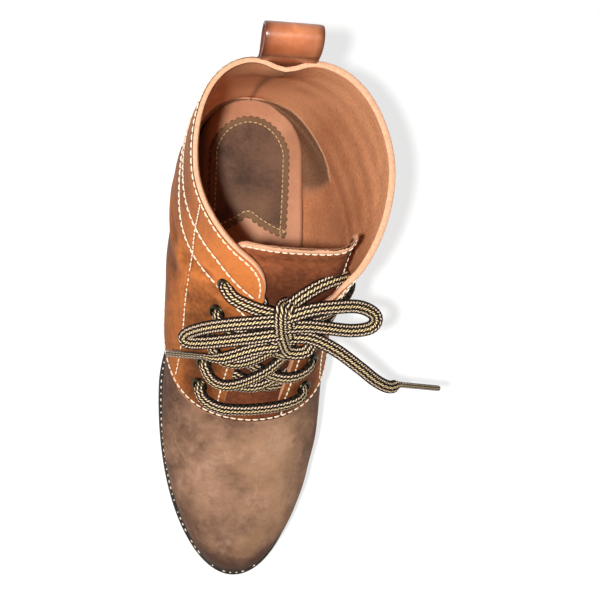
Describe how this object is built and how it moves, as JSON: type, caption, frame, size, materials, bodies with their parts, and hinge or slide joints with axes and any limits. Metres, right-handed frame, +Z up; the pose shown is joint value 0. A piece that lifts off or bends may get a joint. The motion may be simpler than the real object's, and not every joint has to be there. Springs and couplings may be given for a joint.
{
  "type": "lace-up ankle boot",
  "caption": "Left lace-up ankle boot: hollow nubuck and smooth leather upper, tongue, tied lace through eyelets, pull loop at the back, welt, arched treaded sole and low block heel.",
  "frame": {"origin": "middle of the boot's box, lace bow left out, on the floor under the sole", "axes": "+Z up, toe towards -Y, heel towards +Y, outer side of the foot towards +X"},
  "size_m": [0.1466, 0.272, 0.167],
  "materials": {
    "upper_leather": "nubuck vamp, smooth burnished quarters",
    "tongue_leather": "smooth",
    "sole_rubber": "matt",
    "heel_rubber": "matt",
    "welt_leather": "dark edge",
    "insole_leather": "smooth",
    "pad_nubuck": "dark nubuck",
    "loop_leather": "glossy burnished",
    "eyelet_bronze": "antique",
    "lace_braid": "round woven braid",
    "clear_tip": "clear over the braid"
  },
  "bodies": {
    "root": {"upper": "upper_leather", "tongue": "tongue_leather", "outsole": "sole_rubber", "heel": "heel_rubber", "welt": "welt_leather", "insole": "insole_leather", "heel_pad": "pad_nubuck", "pull_loop": "loop_leather", "lace_crossings": "lace_braid", "eyelet_medial_1": "eyelet_bronze", "eyelet_medial_2": "eyelet_bronze", "eyelet_medial_3": "eyelet_bronze", "eyelet_medial_4": "eyelet_bronze", "eyelet_medial_5": "eyelet_bronze", "eyelet_lateral_1": "eyelet_bronze", "eyelet_lateral_2": "eyelet_bronze", "eyelet_lateral_3": "eyelet_bronze", "eyelet_lateral_4": "eyelet_bronze", "eyelet_lateral_5": "eyelet_bronze", "lace_knot": "lace_braid", "lace_loop_medial": "lace_braid", "lace_loop_lateral": "lace_braid", "lace_end_medial": "lace_braid", "lace_end_lateral": "lace_braid", "aglet_medial": "clear_tip", "aglet_lateral": "clear_tip"}
  },
  "joints": []
}
